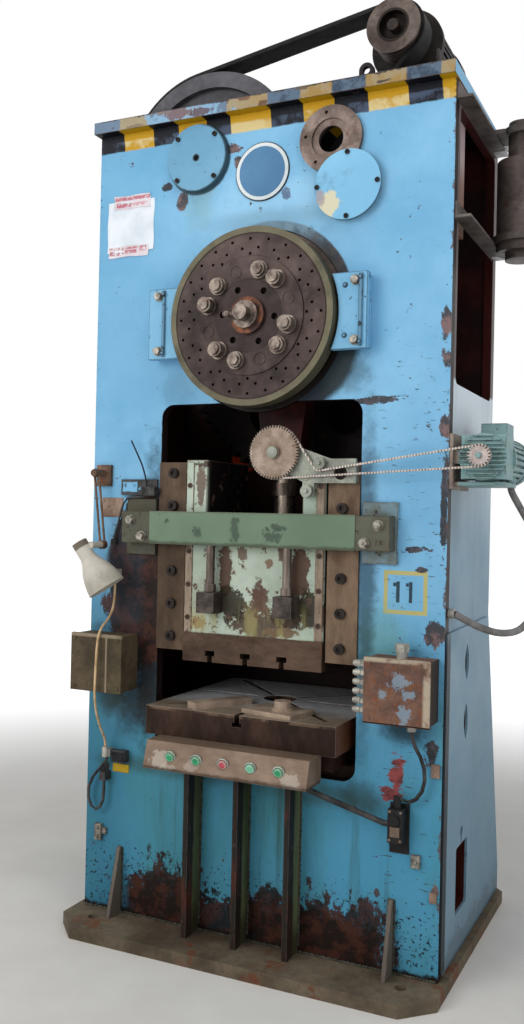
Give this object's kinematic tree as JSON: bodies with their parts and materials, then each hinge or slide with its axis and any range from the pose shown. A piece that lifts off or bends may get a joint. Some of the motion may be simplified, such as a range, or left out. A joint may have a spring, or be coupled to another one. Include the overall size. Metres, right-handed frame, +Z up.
{
  "type": "mechanical stamping press",
  "caption": "Straight-sided mechanical stamping press: belt-driven flywheel, front crank disc, guided slide, slotted bolster, push-button panel and work lamp.",
  "frame": {"origin": "on the floor, under the middle of the front plate's face", "axes": "+X to the right as seen from the front, +Y to the back, +Z up"},
  "size_m": [1.5385, 1.125, 3.093],
  "materials": {
    "blue_paint": "worn light blue paint",
    "side_paint": "pale grey-blue paint",
    "maroon_paint": "dark red primer",
    "slide_paint": "chipped pale green paint",
    "bar_paint": "dull green paint",
    "teal_paint": "teal paint",
    "oily_steel": "brown, oily steel",
    "rusty_steel": "rusted",
    "bare_steel": "worn bright",
    "dark_iron": "dark and dirty",
    "belt_rubber": "dusty",
    "cord_rubber": "matt",
    "cord_cream": "matt",
    "button_green": "worn gloss",
    "button_red": "worn gloss",
    "lamp_white": "white enamel"
  },
  "bodies": {
    "frame": {"base_plate": "oily_steel", "front_plate": "blue_paint", "side_plate_left": "side_paint", "side_plate_right": "side_paint", "back_plate": "side_paint", "top_plate": "blue_paint", "side_panel": "side_paint", "front_ribs": "oily_steel", "bed": "oily_steel", "bolster": "oily_steel", "gibs": "oily_steel", "knockout_bar": "bar_paint", "bar_brackets": "bar_paint", "knockout_rods": "bare_steel", "shaft_cover": "blue_paint", "port_ring": "rusty_steel", "crank_pads": "blue_paint", "crank_bearings": "maroon_paint", "frame_bolts": "dark_iron", "junction_box_left": "rusty_steel", "junction_box_right": "rusty_steel", "cable_fittings": "bare_steel", "socket_box": "dark_iron", "control_panel": "oily_steel", "conduits": "cord_rubber", "lamp_base": "rusty_steel", "sprocket_bracket": "bare_steel", "chain": "bare_steel", "gearmotor": "teal_paint", "motor": "dark_iron", "motor_rails": "dark_iron", "belt": "belt_rubber", "side_brackets": "dark_iron", "side_cylinder": "oily_steel", "die_plate": "bare_steel", "parallel_bar": "oily_steel", "lamp_cord": "cord_cream", "side_hose": "cord_rubber"},
    "gear_train": {"main_gear": "oily_steel"},
    "flywheel": {"flywheel": "dark_iron", "flywheel_shaft": "bare_steel"},
    "pulley": {"motor_pulley": "oily_steel"},
    "crank": {"crankshaft": "bare_steel", "crank_disc": "oily_steel", "disc_studs": "oily_steel"},
    "slide": {"slide_block": "slide_paint", "slide_plate": "oily_steel", "connecting_rod": "dark_iron", "adjusting_screw": "bare_steel", "knockout_lugs": "dark_iron"},
    "sprocket_a": {"large_sprocket": "bare_steel"},
    "sprocket_b": {"small_sprocket": "bare_steel"},
    "lamp_arm": {"lamp_arm": "oily_steel"},
    "lamp_head": {"lamp_head": "lamp_white"},
    "port_cover": {"port_cover": "blue_paint"},
    "button_1": {"button_1": "button_green"},
    "button_2": {"button_2": "button_green"},
    "button_3": {"button_3": "button_red"},
    "button_4": {"button_4": "button_green"},
    "button_5": {"button_5": "button_green"}
  },
  "joints": [
    {"name": "gear_turn", "type": "hinge", "parent": "frame", "child": "gear_train", "pos_m": [0, 0.45, 2.061], "axis": [0, 1, 0], "continuous": true},
    {"name": "flywheel_turn", "type": "hinge", "parent": "frame", "child": "flywheel", "pos_m": [-0.242, 0.1, 2.622], "axis": [0, 1, 0], "continuous": true},
    {"name": "pulley_turn", "type": "hinge", "parent": "frame", "child": "pulley", "pos_m": [0.417, 0.1, 2.973], "axis": [0, 1, 0], "continuous": true},
    {"name": "crank_turn", "type": "hinge", "parent": "frame", "child": "crank", "pos_m": [0, 0.1, 2.061], "axis": [0, 1, 0], "range_deg": [0, 180]},
    {"name": "slide_travel", "type": "slide", "parent": "frame", "child": "slide", "axis": [0, 0, -1], "range_m": [0, 0.08]},
    {"name": "sprocket_turn", "type": "hinge", "parent": "frame", "child": "sprocket_a", "pos_m": [0.086, -0.03, 1.626], "axis": [0, 1, 0], "continuous": true},
    {"name": "small_sprocket_turn", "type": "hinge", "parent": "frame", "child": "sprocket_b", "pos_m": [0.738, -0.03, 1.612], "axis": [0, 1, 0], "continuous": true},
    {"name": "lamp_swing", "type": "hinge", "parent": "frame", "child": "lamp_arm", "pos_m": [-0.592, -0.046, 1.56], "axis": [0, 1, 0], "range_deg": [-14, 20]},
    {"name": "lamp_tilt", "type": "hinge", "parent": "lamp_arm", "child": "lamp_head", "pos_m": [-0.56153, -0.046, 1.31186], "axis": [0, 1, 0], "range_deg": [-30, 30]},
    {"name": "port_cover_swing", "type": "hinge", "parent": "frame", "child": "port_cover", "pos_m": [0.303, -0.02, 2.563], "axis": [0, 1, 0], "range_deg": [-30, 120]},
    {"name": "button_1_push", "type": "slide", "parent": "frame", "child": "button_1", "axis": [0, 0.9594, 0.2822], "range_m": [0, 0.005], "stiffness_N_per_m": 400},
    {"name": "button_2_push", "type": "slide", "parent": "frame", "child": "button_2", "axis": [0, 0.9594, 0.2822], "range_m": [0, 0.005], "stiffness_N_per_m": 400},
    {"name": "button_3_push", "type": "slide", "parent": "frame", "child": "button_3", "axis": [0, 0.9594, 0.2822], "range_m": [0, 0.005], "stiffness_N_per_m": 400},
    {"name": "button_4_push", "type": "slide", "parent": "frame", "child": "button_4", "axis": [0, 0.9594, 0.2822], "range_m": [0, 0.005], "stiffness_N_per_m": 400},
    {"name": "button_5_push", "type": "slide", "parent": "frame", "child": "button_5", "axis": [0, 0.9594, 0.2822], "range_m": [0, 0.005], "stiffness_N_per_m": 400}
  ],
  "couplings": [
    {"joint": "flywheel_turn", "follows": "gear_turn", "ratio": -4.5},
    {"joint": "pulley_turn", "follows": "gear_turn", "ratio": -17.671},
    {"joint": "slide_travel", "follows": "crank_turn", "m_per_rad": 0.025464},
    {"joint": "small_sprocket_turn", "follows": "sprocket_turn", "ratio": 2.7}
  ]
}
